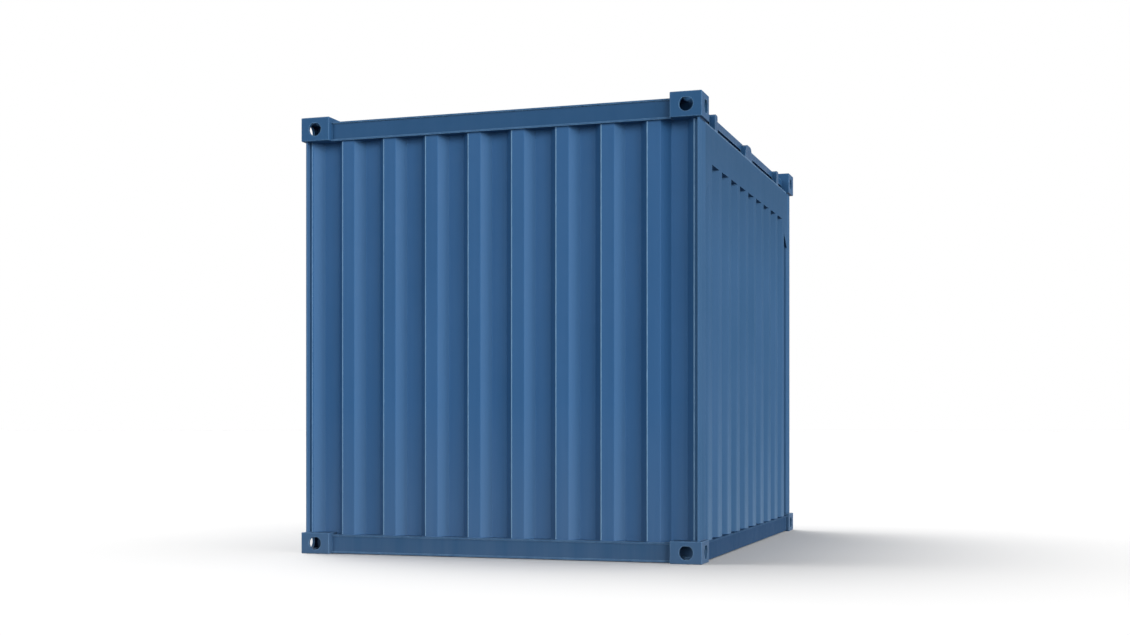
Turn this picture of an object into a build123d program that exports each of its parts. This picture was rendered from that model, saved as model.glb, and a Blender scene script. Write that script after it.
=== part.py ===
from build123d import *
import os

os.makedirs("parts", exist_ok=True)

# Offshore container: a 10 ft closed steel box on eight corner castings.
# X runs along its length with the closed end at -X and the doors at +X,
# Y runs across it and Z is up, with the origin on the ground under its middle.
# Right and left are as seen by someone who faces the closed end, so right is -Y.

# Overall size over the corner castings
length = 2991.0
width = 2438.0
height = 2591.0

# Corner castings, with the lock slots on the standard's centres
casting_length = 178.0
casting_width = 182.0
top_casting_height = 140.0
bottom_casting_height = 125.0
casting_wall = 16.0
casting_plate = 26.0
casting_seat = 16.0
casting_edge = 3.0
lock_from_end = 102.0
lock_from_side = 89.5
slot_length = 124.0
slot_width = 63.5
hole_radius = 40.0
hole_flat = 36.0

# Corner posts
side_inset = 20.0
post_wall = 6.0
post_bend = 12.0
front_post_round = 22.0
front_post_flat = 26.0
front_post_width = 31.0
rear_post_face = 30.0
rear_post_depth = 122.0
rear_post_width = 90.0

# Pressed wall sheets
sheet = 3.0
sheet_bend = 8.0
crest_flat = 78.0
slope_run = 48.0
corrugation_depth = 61.0
end_crest = 50.0
end_pitch = 267.0
side_pitch = 262.7
band_height = 203.0
end_recess_drop = 97.0
gusset_drop = 90.0
wall_return = 10.0

# End rails, rolled channels with their lips outwards
end_rail_face = 41.0
end_rail_lip = 8.0
end_rail_depth = 87.0
end_rail_web = 8.0
end_rail_flange = 9.0
top_rail_set_down = 28.0

# Bottom rails and the base frame
bottom_rail_clearance = 4.0
bottom_rail_height = 110.0
bottom_side_face = 27.0
bottom_side_ledge = 17.0
bottom_side_top_flange = 80.0
bottom_side_foot_flange = 48.0
cross_member_width = 45.0
cross_member_wall = 5.0
cross_member_set_up = 16.0
cross_member_pitch = 300.0
floor_thickness = 28.0
floor_side_gap = 4.0
floor_end_gap = 4.0

# Top side rails: a ledge over the wall, a set-back web and a slim head
top_side_ledge = 8.0
top_side_web_face = 75.0
top_side_head_face = 55.0
top_side_back = 115.0
top_side_head = 43.0
top_side_head_base = 50.0
top_side_wall = 5.0

# Brackets on the top side rails
bracket_face = 20.0
bracket_length = 62.0
bracket_from_front = 460.0
bracket_from_rear = 540.0
bracket_chamfer = 9.0
middle_bracket_place = 1420.0
middle_bracket_length = 230.0
middle_bracket_drop = 7.0
middle_bracket_slope = 40.0
middle_bracket_round = 50.0

# Roof sheet with pressed cross ribs
roof_edge = 62.0
roof_rib_pitch = 210.0
roof_rib_base = 120.0
roof_rib_rise = 18.0
roof_rib_taper = 45.0
roof_rib_side = 150.0

# Doors in the rear frame
door_face = 46.0
door_thickness = 50.0
door_gap = 12.0
door_frame = 90.0
door_panel_face = 8.0
door_panel_depth = 34.0
door_panel_flat = 110.0
door_panel_slope = 34.0
door_panel_pitch = 380.0
gasket_depth = 24.0
gasket_set_in = 14.0

# Locking gear on the doors
lock_bar_centre = 18.0
lock_bar_radius = 13.0
lock_bar_bore = 8.0
lock_bar_shares = (0.42, 0.855)
lock_bar_end = 17.0
cam_radius = 16.5
cam_gap = 2.0
running_gap = 0.3
guide_front = 2.0
guide_width = 64.0
guide_height = 70.0
guide_from_door_edge = 210.0
keeper_width = 90.0
keeper_height = 56.0
keeper_front = 5.0
keeper_mouth = 1.5
handle_level = 1120.0
handle_length = 330.0
handle_height = 40.0
handle_thickness = 10.0
handle_back = 36.0
hub_radius = 15.6
hub_height = 60.0
catch_width = 60.0
catch_height = 84.0
catch_wall = 10.0

# Door hinges
hinge_pin_centre = 17.0
hinge_radius = 11.0
hinge_from_opening = 7.0
hinge_height = 110.0
hinge_blade_length = 110.0
hinge_blade_thickness = 10.0
hinge_from_door_edge = 190.0
hinge_count = 4
hinge_lug_height = 16.0

overrun = 5.0

# Levels and places that follow from the sizes above
top_casting_base = height - top_casting_height
post_height = top_casting_base - bottom_casting_height
top_rail_top = height - top_rail_set_down
bottom_rail_top = bottom_rail_clearance + bottom_rail_height
side_valley = side_inset + corrugation_depth
end_valley = end_crest + corrugation_depth
end_rail_front = end_rail_face - end_rail_lip
end_rail_back = end_rail_front + end_rail_depth
rear_post_front = length - rear_post_face - rear_post_depth
opening_side = side_inset + rear_post_width
low_corner = (Align.MIN, Align.MIN)

# Drawing planes from the closed end's right lower corner: plan is drawn in
# distance from the closed end and distance from the right side, cross in
# distance from the right side and height, profile in distance from the closed
# end and height.
plan = Plane((-length / 2, -width / 2, 0))
cross = Plane((-length / 2, -width / 2, 0), x_dir=(0, 1, 0), z_dir=(1, 0, 0))
profile = Plane((-length / 2, 0, 0), x_dir=(1, 0, 0), z_dir=(0, -1, 0))

# The round aperture of a casting, with its top cut flat
with BuildSketch() as aperture:
    Circle(hole_radius)
    with Locations((0, hole_flat)):
        Rectangle(2 * hole_radius, hole_radius, align=(Align.CENTER, Align.MIN), mode=Mode.SUBTRACT)

# Top corner castings: hollow, closed towards the inboard corner, with a lock
# slot in the top and a round aperture in the end and in the side
top_hole = top_casting_base + top_casting_height / 2
with BuildPart() as front_right_top_casting:
    with BuildSketch(plan.offset(top_casting_base)):
        Rectangle(casting_length, casting_width, align=low_corner)
    extrude(amount=top_casting_height)
    chamfer(front_right_top_casting.edges(), length=casting_edge)
    with BuildSketch(plan.offset(top_casting_base + casting_seat)):
        with Locations((casting_wall, casting_wall)):
            Rectangle(casting_length - 2 * casting_wall, casting_width - 2 * casting_wall, align=low_corner)
    extrude(amount=top_casting_height - casting_seat - casting_plate, mode=Mode.SUBTRACT)
    with BuildSketch(plan.offset(height)):
        with Locations((lock_from_end, lock_from_side)):
            SlotOverall(slot_length, slot_width)
    extrude(amount=-casting_plate - overrun, mode=Mode.SUBTRACT)
    with BuildSketch(cross):
        with Locations((lock_from_side, top_hole)):
            add(aperture.sketch)
    extrude(amount=casting_wall + overrun, mode=Mode.SUBTRACT)
    with BuildSketch(profile.offset(width / 2)):
        with Locations((lock_from_end, top_hole)):
            add(aperture.sketch)
    extrude(amount=-casting_wall - overrun, mode=Mode.SUBTRACT)
front_right_top_casting.part.label = "front_right_top_casting"
export_step(front_right_top_casting.part, "parts/front_right_top_casting.step")

with BuildPart() as front_left_top_casting:
    mirror(front_right_top_casting.part, about=Plane.XZ)
front_left_top_casting.part.label = "front_left_top_casting"
export_step(front_left_top_casting.part, "parts/front_left_top_casting.step")

with BuildPart() as rear_right_top_casting:
    mirror(front_right_top_casting.part, about=Plane.YZ)
rear_right_top_casting.part.label = "rear_right_top_casting"
export_step(rear_right_top_casting.part, "parts/rear_right_top_casting.step")

with BuildPart() as rear_left_top_casting:
    mirror(front_left_top_casting.part, about=Plane.YZ)
rear_left_top_casting.part.label = "rear_left_top_casting"
export_step(rear_left_top_casting.part, "parts/rear_left_top_casting.step")

# Bottom corner castings: the same with the lock slot in the foot
bottom_hole = bottom_casting_height / 2
with BuildPart() as front_right_bottom_casting:
    with BuildSketch(plan):
        Rectangle(casting_length, casting_width, align=low_corner)
    extrude(amount=bottom_casting_height)
    chamfer(front_right_bottom_casting.edges(), length=casting_edge)
    with BuildSketch(plan.offset(casting_plate)):
        with Locations((casting_wall, casting_wall)):
            Rectangle(casting_length - 2 * casting_wall, casting_width - 2 * casting_wall, align=low_corner)
    extrude(amount=bottom_casting_height - casting_seat - casting_plate, mode=Mode.SUBTRACT)
    with BuildSketch(plan):
        with Locations((lock_from_end, lock_from_side)):
            SlotOverall(slot_length, slot_width)
    extrude(amount=casting_plate + overrun, mode=Mode.SUBTRACT)
    with BuildSketch(cross):
        with Locations((lock_from_side, bottom_hole)):
            add(aperture.sketch)
    extrude(amount=casting_wall + overrun, mode=Mode.SUBTRACT)
    with BuildSketch(profile.offset(width / 2)):
        with Locations((lock_from_end, bottom_hole)):
            add(aperture.sketch)
    extrude(amount=-casting_wall - overrun, mode=Mode.SUBTRACT)
front_right_bottom_casting.part.label = "front_right_bottom_casting"
export_step(front_right_bottom_casting.part, "parts/front_right_bottom_casting.step")

with BuildPart() as front_left_bottom_casting:
    mirror(front_right_bottom_casting.part, about=Plane.XZ)
front_left_bottom_casting.part.label = "front_left_bottom_casting"
export_step(front_left_bottom_casting.part, "parts/front_left_bottom_casting.step")

with BuildPart() as rear_right_bottom_casting:
    mirror(front_right_bottom_casting.part, about=Plane.YZ)
rear_right_bottom_casting.part.label = "rear_right_bottom_casting"
export_step(rear_right_bottom_casting.part, "parts/rear_right_bottom_casting.step")

with BuildPart() as rear_left_bottom_casting:
    mirror(front_left_bottom_casting.part, about=Plane.YZ)
rear_left_bottom_casting.part.label = "rear_left_bottom_casting"
export_step(rear_left_bottom_casting.part, "parts/rear_left_bottom_casting.step")

# Front corner posts: a hollow pressed section with a well rounded corner, level
# with the crests of the end wall, and a shoulder behind the edge of that wall
post_shoulder = end_crest + sheet
post_inner = side_inset + front_post_width
with BuildPart() as front_right_post:
    with BuildSketch(plan.offset(bottom_casting_height)) as front_post_section:
        with BuildLine():
            Polyline(
                (end_crest, side_inset),
                (end_crest, side_inset + front_post_flat),
                (post_shoulder, side_inset + front_post_flat),
                (post_shoulder, post_inner),
                (casting_length, post_inner),
                (casting_length, side_inset),
                close=True,
            )
        make_face()
        fillet(front_post_section.vertices().group_by(Axis.X)[0].sort_by(Axis.Y)[0], radius=front_post_round)
        offset(amount=-post_wall, kind=Kind.INTERSECTION, mode=Mode.SUBTRACT)
    extrude(amount=post_height)
front_right_post.part.label = "front_right_post"
export_step(front_right_post.part, "parts/front_right_post.step")

with BuildPart() as front_left_post:
    mirror(front_right_post.part, about=Plane.XZ)
front_left_post.part.label = "front_left_post"
export_step(front_left_post.part, "parts/front_left_post.step")

# Rear corner posts: pressed channels whose front lip closes on the side wall
with BuildPart() as rear_right_post:
    with BuildSketch(plan.offset(bottom_casting_height)):
        with BuildLine():
            FilletPolyline(
                (rear_post_front, side_valley),
                (rear_post_front, side_inset),
                (length - rear_post_face, side_inset),
                (length - rear_post_face, opening_side),
                (rear_post_front, opening_side),
                radius=post_bend,
            )
            offset(amount=post_wall, side=Side.LEFT, kind=Kind.INTERSECTION)
        make_face()
    extrude(amount=post_height)
rear_right_post.part.label = "rear_right_post"
export_step(rear_right_post.part, "parts/rear_right_post.step")

with BuildPart() as rear_left_post:
    mirror(rear_right_post.part, about=Plane.XZ)
rear_left_post.part.label = "rear_left_post"
export_step(rear_left_post.part, "parts/rear_left_post.step")

# Front top rail: a channel between the top castings, its lips outwards
with BuildPart() as front_top_rail:
    with BuildSketch(profile):
        with Locations((end_rail_face, top_casting_base)):
            Rectangle(end_rail_web, top_rail_top - top_casting_base, align=low_corner)
        with Locations((end_rail_front, top_casting_base), (end_rail_front, top_rail_top - end_rail_flange)):
            Rectangle(end_rail_depth, end_rail_flange, align=low_corner)
    extrude(amount=width / 2 - casting_width, both=True)
front_top_rail.part.label = "front_top_rail"
export_step(front_top_rail.part, "parts/front_top_rail.step")

with BuildPart() as rear_header:
    mirror(front_top_rail.part, about=Plane.YZ)
rear_header.part.label = "rear_header"
export_step(rear_header.part, "parts/rear_header.step")

# Front bottom rail: the same channel, with the end wall standing on its top
with BuildPart() as front_bottom_rail:
    with BuildSketch(profile):
        with Locations((end_rail_face, bottom_rail_clearance)):
            Rectangle(end_rail_web, bottom_rail_height, align=low_corner)
        with Locations((end_rail_front, bottom_rail_clearance), (end_rail_front, bottom_rail_top - end_rail_flange)):
            Rectangle(end_rail_depth, end_rail_flange, align=low_corner)
    extrude(amount=width / 2 - casting_width, both=True)
front_bottom_rail.part.label = "front_bottom_rail"
export_step(front_bottom_rail.part, "parts/front_bottom_rail.step")

# Rear sill: level with the tops of the castings so that the doors close on it
sill_height = bottom_casting_height - bottom_rail_clearance
sill_front = length - end_rail_back
with BuildPart() as rear_sill:
    with BuildSketch(profile):
        with Locations((length - end_rail_face - end_rail_web, bottom_rail_clearance)):
            Rectangle(end_rail_web, sill_height, align=low_corner)
        with Locations((sill_front, bottom_rail_clearance), (sill_front, bottom_casting_height - end_rail_flange)):
            Rectangle(end_rail_depth, end_rail_flange, align=low_corner)
    extrude(amount=width / 2 - casting_width, both=True)
rear_sill.part.label = "rear_sill"
export_step(rear_sill.part, "parts/rear_sill.step")

# Front wall: one pressed sheet of upright trapezoid corrugations between the
# front posts
end_wall_edge = side_inset + front_post_flat
end_valleys = int((width - 2 * (end_wall_edge + sheet_bend) + crest_flat) / end_pitch)
end_mouth = (end_pitch - crest_flat) / 2
end_floor = end_mouth - slope_run
end_points = [(end_crest, end_wall_edge)]
for index in range(end_valleys):
    centre = width / 2 + (index - (end_valleys - 1) / 2) * end_pitch
    end_points += [
        (end_crest, centre - end_mouth),
        (end_valley, centre - end_floor),
        (end_valley, centre + end_floor),
        (end_crest, centre + end_mouth),
    ]
end_points.append((end_crest, width - end_wall_edge))
with BuildPart() as front_wall:
    with BuildSketch(plan.offset(bottom_rail_top)):
        with BuildLine():
            FilletPolyline(*end_points, radius=sheet_bend)
            offset(amount=sheet, side=Side.RIGHT, kind=Kind.INTERSECTION)
        make_face()
    extrude(amount=top_casting_base - bottom_rail_top)
    with BuildSketch(plan.offset(bottom_rail_top)):
        Rectangle(casting_length, casting_width, align=low_corner)
        with Locations((0, width - casting_width)):
            Rectangle(casting_length, casting_width, align=low_corner)
    extrude(amount=bottom_casting_height - bottom_rail_top, mode=Mode.SUBTRACT)
front_wall.part.label = "front_wall"
export_step(front_wall.part, "parts/front_wall.step")

# Right wall: a pressed sheet whose upright recesses stop under a flat band.
# The outer flats of the recessed part, the band and the posts are in one plane,
# and the sheet's front edge turns out to the back of the front post.
band_top = top_casting_base - top_side_ledge
band_base = band_top - band_height
end_recess_top = band_base - end_recess_drop
half_crest = crest_flat / 2
side_crests = int((length - 2 * (casting_length + half_crest + slope_run)) / side_pitch) + 1
first_crest = length / 2 - (side_crests - 1) / 2 * side_pitch
last_crest = length / 2 + (side_crests - 1) / 2 * side_pitch
side_mouth = (side_pitch - crest_flat) / 2
side_floor = side_mouth - slope_run
wall_start = casting_length + sheet
side_points = [(wall_start, post_inner - wall_return), (wall_start, side_valley)]
for index in range(side_crests):
    centre = first_crest + index * side_pitch
    side_points += [
        (centre - half_crest - slope_run, side_valley),
        (centre - half_crest, side_inset),
        (centre + half_crest, side_inset),
        (centre + half_crest + slope_run, side_valley),
    ]
side_points.append((length - rear_post_face - post_wall, side_valley))
with BuildPart() as right_wall:
    with BuildSketch(plan.offset(bottom_rail_top)):
        with BuildLine():
            FilletPolyline(*side_points, radius=sheet_bend)
            offset(amount=sheet, side=Side.LEFT, kind=Kind.INTERSECTION)
        make_face()
    extrude(amount=band_base + sheet - bottom_rail_top)
    with BuildSketch(plan.offset(band_base)):
        for index in range(side_crests - 1):
            centre = first_crest + index * side_pitch + side_pitch / 2
            with BuildLine():
                Polyline(
                    (centre - side_mouth, side_inset),
                    (centre - side_floor, side_valley),
                    (centre + side_floor, side_valley),
                    (centre + side_mouth, side_inset),
                    close=True,
                )
            make_face()
    extrude(amount=sheet)
    with BuildSketch(plan.offset(end_recess_top)):
        with BuildLine():
            Polyline(
                (casting_length, side_inset),
                (first_crest - half_crest, side_inset),
                (first_crest - half_crest - slope_run, side_valley),
                (casting_length, side_valley),
                close=True,
            )
        make_face()
        with BuildLine():
            Polyline(
                (rear_post_front, side_inset),
                (last_crest + half_crest, side_inset),
                (last_crest + half_crest + slope_run, side_valley),
                (rear_post_front, side_valley),
                close=True,
            )
        make_face()
    extrude(amount=sheet)
    with BuildSketch(profile.offset(width / 2 - side_inset)):
        with BuildLine():
            Polyline(
                (casting_length, band_top),
                (casting_length, end_recess_top - gusset_drop),
                (first_crest - half_crest, end_recess_top),
                (first_crest - half_crest, band_base),
                (last_crest + half_crest, band_base),
                (last_crest + half_crest, end_recess_top),
                (rear_post_front, end_recess_top - gusset_drop),
                (rear_post_front, band_top),
                close=True,
            )
        make_face()
    extrude(amount=-sheet)
    with BuildSketch(plan.offset(bottom_rail_top)):
        with Locations((length - casting_length, 0)):
            Rectangle(casting_length, casting_width, align=low_corner)
    extrude(amount=bottom_casting_height - bottom_rail_top, mode=Mode.SUBTRACT)
right_wall.part.label = "right_wall"
export_step(right_wall.part, "parts/right_wall.step")

with BuildPart() as left_wall:
    mirror(right_wall.part, about=Plane.XZ)
left_wall.part.label = "left_wall"
export_step(left_wall.part, "parts/left_wall.step")

# Right top rail: the ledge closes the wall's band, and the slim hollow head
# stands on a web that is set back, so that a shadow line runs under it
head_base = top_casting_base + top_side_head_base
head_top = head_base + top_side_head
side_rail_length = length - 2 * casting_length
with BuildPart() as right_top_rail:
    with BuildSketch(cross.offset(casting_length)):
        with Locations((side_inset, band_top)):
            Rectangle(top_side_back - side_inset, top_side_ledge, align=low_corner)
        with Locations((top_side_web_face, top_casting_base)):
            Rectangle(top_side_back - top_side_web_face, top_side_head_base, align=low_corner)
        with Locations((top_side_head_face, head_base)):
            Rectangle(top_side_back - top_side_head_face, top_side_head, align=low_corner)
        with Locations((top_side_web_face + top_side_wall, top_casting_base)):
            Rectangle(
                top_side_back - top_side_web_face - 2 * top_side_wall,
                head_top - top_casting_base - top_side_wall,
                align=low_corner,
                mode=Mode.SUBTRACT,
            )
    extrude(amount=side_rail_length)
right_top_rail.part.label = "right_top_rail"
export_step(right_top_rail.part, "parts/right_top_rail.step")

with BuildPart() as left_top_rail:
    mirror(right_top_rail.part, about=Plane.XZ)
left_top_rail.part.label = "left_top_rail"
export_step(left_top_rail.part, "parts/left_top_rail.step")

# Brackets between the ledge and the head: a block near each end, and a longer
# one with well rounded ends near mid-length
bracket_height = head_top - top_casting_base
bracket_width = top_side_head_face - bracket_face
half_middle = middle_bracket_length / 2
middle_bracket_top = head_top - middle_bracket_drop
with BuildPart() as right_rail_brackets:
    with BuildSketch(profile.offset(width / 2 - bracket_face)) as end_brackets:
        with Locations((bracket_from_front, top_casting_base), (length - bracket_from_rear, top_casting_base)):
            Rectangle(bracket_length, bracket_height, align=(Align.CENTER, Align.MIN))
        chamfer(end_brackets.vertices().group_by(Axis.Y)[-1], length=bracket_chamfer)
    with BuildSketch(profile.offset(width / 2 - bracket_face)) as middle_bracket:
        with BuildLine():
            Polyline(
                (middle_bracket_place - half_middle, top_casting_base),
                (middle_bracket_place + half_middle, top_casting_base),
                (middle_bracket_place + half_middle - middle_bracket_slope, middle_bracket_top),
                (middle_bracket_place - half_middle + middle_bracket_slope, middle_bracket_top),
                close=True,
            )
        make_face()
        fillet(middle_bracket.vertices().group_by(Axis.Y)[-1], radius=middle_bracket_round)
    extrude(amount=-bracket_width)
right_rail_brackets.part.label = "right_rail_brackets"
export_step(right_rail_brackets.part, "parts/right_rail_brackets.step")

with BuildPart() as left_rail_brackets:
    mirror(right_rail_brackets.part, about=Plane.XZ)
left_rail_brackets.part.label = "left_rail_brackets"
export_step(left_rail_brackets.part, "parts/left_rail_brackets.step")

# Right bottom rail: a channel with its flanges inwards and a ledge under the wall
with BuildPart() as right_bottom_rail:
    with BuildSketch(cross.offset(casting_length)):
        with Locations((bottom_side_face, bottom_rail_clearance)):
            Rectangle(end_rail_web, bottom_rail_height, align=low_corner)
            Rectangle(bottom_side_foot_flange, end_rail_flange, align=low_corner)
        with Locations((bottom_side_face - bottom_side_ledge, bottom_rail_top - end_rail_flange)):
            Rectangle(bottom_side_top_flange, end_rail_flange, align=low_corner)
    extrude(amount=side_rail_length)
right_bottom_rail.part.label = "right_bottom_rail"
export_step(right_bottom_rail.part, "parts/right_bottom_rail.step")

with BuildPart() as left_bottom_rail:
    mirror(right_bottom_rail.part, about=Plane.XZ)
left_bottom_rail.part.label = "left_bottom_rail"
export_step(left_bottom_rail.part, "parts/left_bottom_rail.step")

# Cross members: channels between the webs of the bottom side rails
member_base = bottom_rail_clearance + cross_member_set_up
member_top = bottom_rail_top - end_rail_flange
member_height = member_top - member_base
member_count = int((length - 2 * casting_length) / cross_member_pitch)
member_start = length / 2 - (member_count - 1) / 2 * cross_member_pitch
with BuildPart() as cross_members:
    with BuildSketch(profile):
        for index in range(member_count):
            with Locations((member_start + index * cross_member_pitch, member_base)):
                Rectangle(cross_member_width, member_height, align=low_corner)
                with Locations((cross_member_wall, cross_member_wall)):
                    Rectangle(
                        cross_member_width,
                        member_height - 2 * cross_member_wall,
                        align=low_corner,
                        mode=Mode.SUBTRACT,
                    )
    extrude(amount=width / 2 - bottom_side_face - end_rail_web, both=True)
cross_members.part.label = "cross_members"
export_step(cross_members.part, "parts/cross_members.step")

# Floor: boards on the cross members, notched round the bottom castings
floor_start = end_rail_back + floor_end_gap
floor_side = opening_side + floor_side_gap
floor_notch_length = casting_length + floor_end_gap
floor_notch_width = casting_width + floor_side_gap
with BuildPart() as floor_boards:
    with BuildSketch(plan.offset(member_top)):
        with Locations((floor_start, floor_notch_width)):
            Rectangle(length - 2 * floor_start, width - 2 * floor_notch_width, align=low_corner)
        with Locations((floor_notch_length, floor_side)):
            Rectangle(length - 2 * floor_notch_length, width - 2 * floor_side, align=low_corner)
    extrude(amount=floor_thickness)
floor_boards.part.label = "floor_boards"
export_step(floor_boards.part, "parts/floor_boards.step")

# Roof: a sheet on the heads of the side rails, pressed into hollow cross ribs
rib_count = int((length - 2 * casting_length) / roof_rib_pitch)
with BuildPart() as roof:
    with BuildSketch(plan.offset(head_top)):
        with Locations((casting_length, roof_edge)):
            Rectangle(side_rail_length, width - 2 * roof_edge, align=low_corner)
    extrude(amount=sheet)
    with BuildSketch(Plane.XY.offset(head_top + sheet)):
        with GridLocations(roof_rib_pitch, width, rib_count, 1):
            Rectangle(roof_rib_base, width - 2 * roof_rib_side)
    extrude(amount=roof_rib_rise, taper=roof_rib_taper)
    with BuildSketch(Plane.XY.offset(head_top)):
        with GridLocations(roof_rib_pitch, width, rib_count, 1):
            Rectangle(roof_rib_base, width - 2 * roof_rib_side)
    extrude(amount=roof_rib_rise, taper=roof_rib_taper, mode=Mode.SUBTRACT)
roof.part.label = "roof"
export_step(roof.part, "parts/roof.step")

# Roof end plates: they close the roof between the castings, up to the end rails
end_plate_start = end_rail_face + end_rail_web
with BuildPart() as roof_end_plates:
    with BuildSketch(plan.offset(head_top)):
        with Locations((end_plate_start, casting_width), (length - casting_length, casting_width)):
            Rectangle(casting_length - end_plate_start, width - 2 * casting_width, align=low_corner)
    extrude(amount=sheet)
roof_end_plates.part.label = "roof_end_plates"
export_step(roof_end_plates.part, "parts/roof_end_plates.step")

# Right door: a flat frame round a sheet pressed into level corrugations
opening_base = bottom_casting_height
opening_top = top_casting_base
door_side = opening_side + door_gap
door_middle = width / 2 - door_gap / 2
door_width = door_middle - door_side
door_base = opening_base + door_gap
door_height = opening_top - opening_base - 2 * door_gap
door_outer = length - door_face
panel_crest = door_outer - door_panel_face
panel_valley = panel_crest - door_panel_depth
panel_low = door_base + door_frame
panel_high = door_base + door_height - door_frame
panel_waves = int((panel_high - panel_low) / door_panel_pitch)
half_flat = door_panel_flat / 2
panel_points = [(panel_crest, panel_low)]
for index in range(panel_waves):
    centre = (panel_low + panel_high) / 2 + (index - (panel_waves - 1) / 2) * door_panel_pitch
    panel_points += [
        (panel_crest, centre - half_flat - door_panel_slope),
        (panel_valley, centre - half_flat),
        (panel_valley, centre + half_flat),
        (panel_crest, centre + half_flat + door_panel_slope),
    ]
panel_points.append((panel_crest, panel_high))
with BuildPart() as right_door:
    with BuildSketch(cross.offset(door_outer)):
        with Locations((door_side, door_base)):
            Rectangle(door_width, door_height, align=low_corner)
        with Locations((door_side + door_frame, panel_low)):
            Rectangle(
                door_width - 2 * door_frame,
                door_height - 2 * door_frame,
                align=low_corner,
                mode=Mode.SUBTRACT,
            )
    extrude(amount=-door_thickness)
    with BuildSketch(profile.offset(width / 2 - door_side - door_frame)):
        with BuildLine():
            FilletPolyline(*panel_points, radius=sheet_bend)
            offset(amount=sheet, side=Side.LEFT, kind=Kind.INTERSECTION)
        make_face()
    extrude(amount=-door_width + 2 * door_frame)
right_door.part.label = "right_door"
export_step(right_door.part, "parts/right_door.step")

with BuildPart() as left_door:
    mirror(right_door.part, about=Plane.XZ)
left_door.part.label = "left_door"
export_step(left_door.part, "parts/left_door.step")

# Door gaskets: rubber frames that fill the gap round each leaf
with BuildPart() as right_door_gasket:
    with BuildSketch(cross.offset(door_outer - gasket_set_in)):
        with Locations((opening_side, opening_base)):
            Rectangle(width / 2 - opening_side, opening_top - opening_base, align=low_corner)
        with Locations((door_side, door_base)):
            Rectangle(door_width, door_height, align=low_corner, mode=Mode.SUBTRACT)
    extrude(amount=-gasket_depth)
right_door_gasket.part.label = "right_door_gasket"
export_step(right_door_gasket.part, "parts/right_door_gasket.step")

with BuildPart() as left_door_gasket:
    mirror(right_door_gasket.part, about=Plane.XZ)
left_door_gasket.part.label = "left_door_gasket"
export_step(left_door_gasket.part, "parts/left_door_gasket.step")

# Locking bars: four upright tubes in front of the doors, from sill to header,
# with a round cam head beyond the keeper at each end
bar_x = length - lock_bar_centre
right_bars = [door_side + share * door_width for share in lock_bar_shares]
left_bars = [width - v for v in right_bars]
bar_places = [(bar_x, v) for v in right_bars + left_bars]
bar_base = opening_base - end_rail_flange - keeper_height - lock_bar_end
bar_top = opening_top + end_rail_flange + keeper_height + lock_bar_end
with BuildPart() as locking_bars:
    with BuildSketch(plan.offset(bar_base)):
        with Locations(*bar_places):
            Circle(lock_bar_radius)
            Circle(lock_bar_bore, mode=Mode.SUBTRACT)
    extrude(amount=bar_top - bar_base)
    for level in (bar_base, bar_top - lock_bar_end + cam_gap):
        with BuildSketch(plan.offset(level)):
            with Locations(*bar_places):
                Circle(cam_radius)
        extrude(amount=lock_bar_end - cam_gap)
locking_bars.part.label = "locking_bars"
export_step(locking_bars.part, "parts/locking_bars.step")

# Bar guides: three blocks on each leaf for each bar, bored for it
guide_levels = [
    door_base + guide_from_door_edge,
    door_base + door_height / 2 + guide_from_door_edge,
    door_base + door_height - guide_from_door_edge,
]
guide_reach = door_face - guide_front
with BuildPart() as bar_guides:
    for level in guide_levels:
        with BuildSketch(plan.offset(level)):
            with Locations(*bar_places):
                with Locations((lock_bar_centre - door_face, 0)):
                    Rectangle(guide_reach, guide_width, align=(Align.MIN, Align.CENTER))
                Circle(lock_bar_radius + running_gap, mode=Mode.SUBTRACT)
        extrude(amount=guide_height)
bar_guides.part.label = "bar_guides"
export_step(bar_guides.part, "parts/bar_guides.step")

# Bar keepers: open jaws on the sill and the header that hold the bar ends
keeper_reach = end_rail_face - keeper_front
keeper_levels = [opening_base - end_rail_flange - keeper_height, opening_top + end_rail_flange]
with BuildPart() as bar_keepers:
    for level in keeper_levels:
        with BuildSketch(plan.offset(level)):
            with Locations(*bar_places):
                with Locations((lock_bar_centre - end_rail_face, 0)):
                    Rectangle(keeper_reach, keeper_width, align=(Align.MIN, Align.CENTER))
                Circle(lock_bar_radius + running_gap, mode=Mode.SUBTRACT)
                Rectangle(
                    lock_bar_centre,
                    2 * (lock_bar_radius + keeper_mouth),
                    align=(Align.MIN, Align.CENTER),
                    mode=Mode.SUBTRACT,
                )
        extrude(amount=keeper_height)
bar_keepers.part.label = "bar_keepers"
export_step(bar_keepers.part, "parts/bar_keepers.step")

# Handles: a hub round each bar with a flat lever along the leaf
handle_x = length - handle_back
with BuildPart() as lock_handles:
    with BuildSketch(plan.offset(handle_level - hub_height / 2)):
        with Locations(*bar_places):
            Circle(hub_radius)
    extrude(amount=hub_height)
    with BuildSketch(plan.offset(handle_level - handle_height / 2)):
        with Locations(*[(handle_x, v) for v in right_bars]):
            Rectangle(handle_thickness, handle_length, align=(Align.MIN, Align.MAX))
        with Locations(*[(handle_x, v) for v in left_bars]):
            Rectangle(handle_thickness, handle_length, align=(Align.MIN, Align.MIN))
    extrude(amount=handle_height)
    with BuildSketch(plan.offset(handle_level - hub_height)):
        with Locations(*bar_places):
            Circle(lock_bar_radius + running_gap)
    extrude(amount=2 * hub_height, mode=Mode.SUBTRACT)
lock_handles.part.label = "lock_handles"
export_step(lock_handles.part, "parts/lock_handles.step")

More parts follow.
